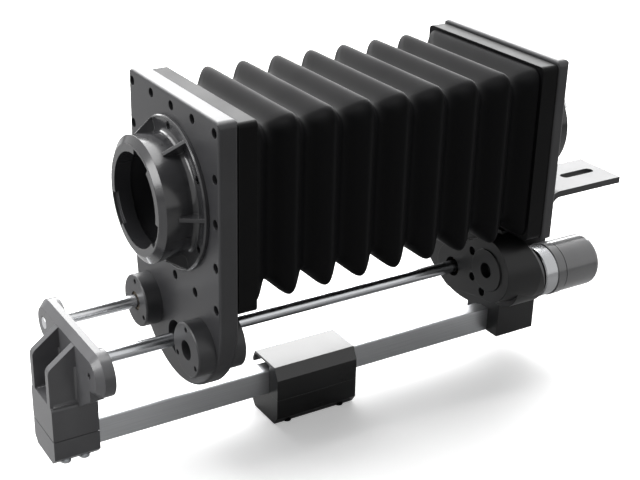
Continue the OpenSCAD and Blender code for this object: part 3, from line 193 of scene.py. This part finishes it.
def plated_steel(name, tint, rough):
    """Plated screw steel: metal with slightly cloudy gloss."""
    material, tree, shader, place = new_material(name)
    cloud = add_node(tree, "ShaderNodeTexNoise", {"Scale": 1 / (0.8 * MM), "Detail": 2.0},
                     {"Vector": place})
    gloss = add_node(tree, "ShaderNodeMapRange", {"To Min": rough - 0.06, "To Max": rough + 0.12},
                     {"Value": cloud.outputs[0]})
    tree.links.new(gloss.outputs[0], shader.inputs["Roughness"])
    edge = add_node(tree, "ShaderNodeBevel", {"samples": 4, "Radius": 0.25 * MM})
    tree.links.new(edge.outputs[0], shader.inputs["Normal"])
    set_shader(shader, Base_Color=srgb(tint), Metallic=1.0)
    return material


screw_steel = plated_steel("zinc_plated_screw_steel", "#c4c6c9", rough=0.34)
finish(screw_steel, "front_jaw_screws", "rear_block_screws", "camera_mount_screws", "bracket_screws",
       "knob_shaft")
black_screws = plated_steel("blackened_screw_steel", "#1b1b1d", rough=0.42)
finish(black_screws, "front_frame_screws", "rear_frame_screws", "bearing_face_screws",
       "bearing_housing_screws", "foot_screws", "drive_nut", "lens_mount_screws")

# Bearing bushes and gears
# Turned bronze bushes, oiled and pressed into the castings, and the two brass gears between the knob's
# shaft and the drive screw. Only the rims of some bushes show from outside.


def turned_bronze(name, tint):
    """Turned bronze: metal with fine tool rings across X."""
    material, tree, shader, place = new_material(name)
    broad = 1 / (33 * MM)
    across = add_node(tree, "ShaderNodeMapping", {"Scale": (1 / (0.3 * MM), broad, broad)},
                      {"Vector": place})
    ring = add_node(tree, "ShaderNodeTexNoise", {"Scale": 1.0, "Detail": 2.0},
                    {"Vector": across.outputs[0]})
    gloss = add_node(tree, "ShaderNodeMapRange", {"To Min": 0.2, "To Max": 0.42},
                     {"Value": ring.outputs[0]})
    tree.links.new(gloss.outputs[0], shader.inputs["Roughness"])
    set_shader(shader, Base_Color=srgb(tint), Metallic=1.0)
    return material


finish(turned_bronze("oiled_bearing_bronze", "#4d3f29"), "screw_front_bush", "knob_shaft_bushes",
       "screw_rear_bushes", "guide_bushes", "tripod_bush")
finish(turned_bronze("cut_gear_brass", "#c9a75c"), "knob_gear", "screw_gear")

# Gear housing, rear cover and rear rail block
# Castings in satin black paint that hold the gears, the guide rod and the rear end of the rail. The cover
# behind them is moulded in dull black plastic and closes the gear case round the knob's shaft.

housing_paint = enamel("satin_black_paint", "#111112", rough=0.4, grain=0.9, depth=0.025, coat=0.0,
                       gleam=0.4)
finish(housing_paint, "gear_housing", "rear_rail_block")
moulded_black = enamel("moulded_black_abs", "#0b0b0c", rough=0.55, grain=0.7, depth=0.03, coat=0.0)
finish(moulded_black, "gear_housing_cover")

# Standards and camera bracket
# The two upright plates, the bearing housings let into the front one and the bent camera bracket carry a
# dark grey powder coat, which leaves a fine even grain and a low gloss.

plate_coat = enamel("dark_grey_powder_coat", "#363638", rough=0.36, grain=0.6, depth=0.03, coat=0.0)
finish(plate_coat, "front_plate", "rear_plate", "bearing_housing_near", "bearing_housing_far",
       "camera_bracket")

# Bellows end frames
# Square frames moulded in matt black plastic that hold the ends of the cloth. Screws through the plates
# pull them in from outside.

frame_plastic = enamel("matt_black_moulded_frame", "#0a0a0b", rough=0.42, grain=0.7, depth=0.03, coat=0.0,
                       gleam=0.1)
finish(frame_plastic, "bellows_front_frame", "bellows_rear_frame")

# Lens mount and camera mount
# Turned castings in high gloss black enamel. The lens mount has six gussets and a bayonet ring with three
# recesses, and both mounts are screwed to their plates through their flanges.

mount_enamel = enamel("high_gloss_black_enamel", "#333335", rough=0.2, grain=1.4, depth=0.015, coat=0.4)
finish(mount_enamel, "lens_mount", "lens_bayonet", "camera_mount_ring")

# Bellows
# A square tube of black rubberised cloth in eight pleats, with flat cuffs at both ends that are glued to the
# end frames of the rear and the front standard.


def pleated_tube(length, middle, ridge, valley, ridge_r, valley_r, skin, pleats, sharp, steps, side, arc):
    """Closed skin of a pleated square tube, as a grid that wraps both ways. Stations run along the outside
    and back along the inside. At each station the half width is the mean of ridge and valley plus their half
    difference times asin(sharp cos t) / asin(sharp), which is a wave with flat slopes and rounded folds.
    Points run round a square of that half width, with arc points in each rounded corner and side points
    between them."""
    wave_at = 2 * np.pi * np.linspace(0, pleats, pleats * steps + 1)
    wave = np.arcsin(sharp * np.cos(wave_at)) / np.arcsin(sharp)
    half = (ridge + valley) / 2 + (ridge - valley) / 2 * wave
    corner = (ridge_r + valley_r) / 2 + (ridge_r - valley_r) / 2 * wave
    along = np.linspace(length[0], length[1], len(half))
    cuff = np.full(2, valley - skin)
    inner = slice(-2, 1, -1)
    half = np.concatenate([half, cuff, half[inner] - skin, cuff])
    corner = np.concatenate([corner, np.full(2, ridge_r), corner[inner] - skin, np.full(2, ridge_r)])
    near_end = [length[0] + skin, length[0]]
    far_end = [length[1], length[1] - skin]
    along = np.concatenate([along, far_end, along[inner], near_end])
    turn = np.radians(90 * np.arange(4)[:, None] + np.linspace(0, 90, arc)[None, :])
    centre = np.radians(90 * np.arange(4) + 45)
    reach = (half - corner)[:, None, None] * np.sqrt(2)
    round_y = reach * np.cos(centre)[None, :, None] + corner[:, None, None] * np.cos(turn)[None]
    round_z = reach * np.sin(centre)[None, :, None] + corner[:, None, None] * np.sin(turn)[None]
    share = (np.arange(1, side + 1) / (side + 1))[None, None, :]
    next_y = np.roll(round_y[:, :, 0], -1, axis=1)[:, :, None]
    next_z = np.roll(round_z[:, :, 0], -1, axis=1)[:, :, None]
    flat_y = round_y[:, :, -1:] * (1 - share) + next_y * share
    flat_z = round_z[:, :, -1:] * (1 - share) + next_z * share
    y = np.concatenate([round_y, flat_y], axis=2).reshape(len(half), -1)
    z = np.concatenate([round_z, flat_z], axis=2).reshape(len(half), -1)
    x = np.broadcast_to(along[:, None], y.shape)
    return np.stack([x, y + middle[0], z + middle[1]], axis=2)


def grid_mesh(name, points, wrap_rows):
    """Mesh of a grid of points whose columns wrap round, and whose rows do too if wrap_rows is true."""
    rows, columns = points.shape[:2]
    index = np.arange(rows * columns).reshape(rows, columns)
    below = np.roll(index, -1, axis=0) if wrap_rows else index[1:]
    index = index if wrap_rows else index[:-1]
    quads = np.stack([index, below, np.roll(below, -1, axis=1), np.roll(index, -1, axis=1)], axis=2)
    mesh = bpy.data.meshes.new(name)
    mesh.from_pydata(points.reshape(-1, 3), [], quads.reshape(-1, 4).tolist())
    mesh.polygons.foreach_set("use_smooth", np.ones(len(mesh.polygons), bool))
    mesh.update()
    return mesh


low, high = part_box("bellows")
middle = ((low.y + high.y) / 2, (low.z + high.z) / 2)
ridge_half = 52.9 * MM
valley_half = 45.3 * MM
cloth_t = 1.2 * MM
tube = pleated_tube((low.x, high.x), middle, ridge_half, valley_half, ridge_r=6.5 * MM, valley_r=10 * MM,
                    skin=cloth_t, pleats=8, sharp=0.6, steps=24, side=14, arc=8)
bellows = bpy.data.objects.new("bellows_cloth", grid_mesh("bellows_cloth", tube, True))
bpy.context.scene.collection.objects.link(bellows)


def rubberised_cloth(name, tint, thread):
    """Coated weave: two crossed waves make the threads, and the coating leaves only a faint gleam. A wave
    texture of scale 1 repeats every 0.314 m."""
    material, tree, shader, place = new_material(name)
    fine = 0.314 / (thread * MM)
    warp = add_node(tree, "ShaderNodeTexWave", {"bands_direction": "X", "Scale": fine}, {"Vector": place})
    weft = add_node(tree, "ShaderNodeTexWave", {"bands_direction": "DIAGONAL", "Scale": fine},
                    {"Vector": place})
    weave = add_node(tree, "ShaderNodeMath", {"operation": "MULTIPLY"},
                     {0: warp.outputs[1], 1: weft.outputs[1]})
    bump = add_node(tree, "ShaderNodeBump", {"Strength": 0.15, "Distance": 0.05 * MM},
                    {"Height": weave.outputs[0]})
    tree.links.new(bump.outputs[0], shader.inputs["Normal"])
    cloud = add_node(tree, "ShaderNodeTexNoise", {"Scale": 1 / (17 * MM), "Detail": 3.0}, {"Vector": place})
    gloss = add_node(tree, "ShaderNodeMapRange", {"To Min": 0.42, "To Max": 0.56},
                     {"Value": cloud.outputs[0]})
    tree.links.new(gloss.outputs[0], shader.inputs["Roughness"])
    set_shader(shader, Base_Color=srgb(tint), Specular_IOR_Level=0.06)
    return material


# Threads are about 0.3 mm apart, drawn at 0.8 mm so that they show
bellows.data.materials.append(rubberised_cloth("black_rubberised_cloth", "#121213", thread=0.8))
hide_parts("bellows")
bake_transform(bellows)

# Painted shade at the end frames
# Two thin square strips in near black, laid round the end frames where they meet the plates. They are
# painted shade for the gap between plate and frame, and they show as the thin dark line there.

seam_shade_w = 0.7 * MM
seam_shade_proud = 0.06 * MM
seam_shade_t = 0.05 * MM
seam_shade_r = 3 * MM + seam_shade_proud
# The strips' near-black colour is painted shade for the dark gap between plate and frame.
seam_shade_paint = enamel("painted_seam_shade", "#060606", rough=0.6, grain=0.5, depth=0.02, coat=0.0, gleam=0.15)
for name, node, body, forward in (("front_seam_shade", "bellows_front_frame", "front_standard", 1),
                                  ("rear_seam_shade", "bellows_rear_frame", "frame", -1)):
    low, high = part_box(node)
    start = low.x if forward > 0 else high.x
    half = (high.y - low.y) / 2 + seam_shade_proud
    ends = sorted((start, start + forward * seam_shade_w))
    centre = ((low.y + high.y) / 2, (low.z + high.z) / 2)
    strip = pleated_tube(ends, centre, half, half, seam_shade_r, seam_shade_r, seam_shade_t, pleats=1, sharp=0.95, steps=2,
                         side=2, arc=6)
    seam_shade_strip = bpy.data.objects.new(name, grid_mesh(name, strip, True))
    bpy.context.scene.collection.objects.link(seam_shade_strip)
    seam_shade_strip.data.materials.append(seam_shade_paint)
    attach(seam_shade_strip, body)

# Drive screw
# A ground and rolled steel screw that moves the nut in the front standard 8 mm a turn. Its thread is so
# fine that it only dulls the reflections across the bar.

screw_bar = ground_chrome("rolled_screw_steel", rings=1.0, tint="#cfd1d4")
finish(screw_bar, "drive_screw")

# Focusing knob and collar
# A moulded grip in glossy grey, with a bright turned aluminium collar towards the housing. Both are fixed
# on the knob's shaft and turn with it.

knob_moulding = enamel("glossy_grey_moulding", "#505052", rough=0.3, grain=0.8, depth=0.015, coat=1.0,
                       gleam=0.9)
finish(knob_moulding, "focus_knob")
collar = ground_chrome("turned_bright_collar", rings=0.35, tint="#b4b5b7")
finish(collar, "knob_collar")

# Tripod foot
# Two machined halves in black paint that slide on the rail, held together by two screws from below. The
# paint is glossy enough to show the lamp behind on its upper side.

foot_paint = enamel("black_foot_paint", "#121213", rough=0.28, grain=0.9, depth=0.02, coat=0.42)
finish(foot_paint, "foot_saddle", "foot_base")

# Studio
# A plain pale floor with a faint glow of its own, which thins the shadow. One large soft lamp stands
# behind, one above, and a weak one at the left.

floor_half = 6
floor_z = -0.4 * MM
floor_corners = [(x * floor_half, y * floor_half, floor_z) for x, y in ((-1, -1), (1, -1), (1, 1), (-1, 1))]
floor_mesh = bpy.data.meshes.new("studio_floor")
floor_mesh.from_pydata(floor_corners, [], [(0, 1, 2, 3)])
floor = bpy.data.objects.new("studio_floor", floor_mesh)
bpy.context.scene.collection.objects.link(floor)
paper, tree, shader, place = new_material("pale_floor_paper")
rays = add_node(tree, "ShaderNodeLightPath")
colour = add_node(tree, "ShaderNodeMixRGB", {"Color1": srgb("#9a9a9a"), "Color2": srgb("#fafafa")},
                  {"Fac": rays.outputs["Is Camera Ray"]})
tree.links.new(colour.outputs[0], shader.inputs["Base Color"])
glow = add_node(tree, "ShaderNodeMapRange", {"To Min": 0.0, "To Max": 0.32},
                {"Value": rays.outputs["Is Camera Ray"]})
tree.links.new(glow.outputs[0], shader.inputs["Emission Strength"])
set_shader(shader, Roughness=0.9, Specular_IOR_Level=0.1, Emission_Color=(1, 1, 1, 1))
floor_mesh.materials.append(paper)

world = bpy.data.worlds.new("studio_white")
bpy.context.scene.world = world
world.use_nodes = True
tree = world.node_tree
tree.nodes.clear()
rays = add_node(tree, "ShaderNodeLightPath")
shown = add_node(tree, "ShaderNodeMath", {"operation": "MAXIMUM"},
                 {0: rays.outputs["Is Camera Ray"], 1: rays.outputs["Is Glossy Ray"]})
strength = add_node(tree, "ShaderNodeMapRange", {"To Min": 0.25, "To Max": 1.0}, {"Value": shown.outputs[0]})
sky = add_node(tree, "ShaderNodeBackground", {"Color": (1, 1, 1, 1)}, {"Strength": strength.outputs[0]})
add_node(tree, "ShaderNodeOutputWorld", links={"Surface": sky.outputs[0]})


def soft_lamp(name, place, aim, width, height, power):
    """Rectangular area lamp at a place, turned towards the point it aims at."""
    lamp = bpy.data.lights.new(name, "AREA")
    lamp.shape = "RECTANGLE"
    lamp.size = width
    lamp.size_y = height
    lamp.energy = power
    holder = bpy.data.objects.new(name, lamp)
    bpy.context.scene.collection.objects.link(holder)
    holder.location = place
    holder.rotation_euler = (Vector(aim) - Vector(place)).to_track_quat("-Z", "Y").to_euler()


soft_lamp("softbox_behind", (0.8, 1.5, 0.9), aim=(0.1, 0, 0.1), width=3.0, height=1.1, power=64)
soft_lamp("softbox_above", (0.1, 0.5, 1.5), aim=(0, 0, 0.1), width=1.8, height=1.4, power=34)
soft_lamp("softbox_left", (-1.5, 0.25, 0.7), aim=(-0.1, 0, 0.12), width=0.8, height=0.8, power=13)

# Camera
# It stands where the photograph was taken from: 28.8 degrees left of square on and 24.69 degrees up. The
# lens is shifted a little sideways, as it is in a picture that was cropped.

view_left = 28.8
view_up = 24.69
focal_px = 1265.03
photo_w_px = 640
lens = bpy.data.cameras.new("camera")
lens.sensor_width = 36
lens.lens = focal_px / photo_w_px * lens.sensor_width
lens.shift_x = 0.1153
camera = bpy.data.objects.new("camera", lens)
bpy.context.scene.collection.objects.link(camera)
camera.location = (-0.39281, -0.58318, 0.42967)
camera.rotation_euler = (np.radians(90 - view_up), 0, np.radians(-view_left))
bpy.context.scene.camera = camera
bpy.context.scene.view_settings.view_transform = "Standard"
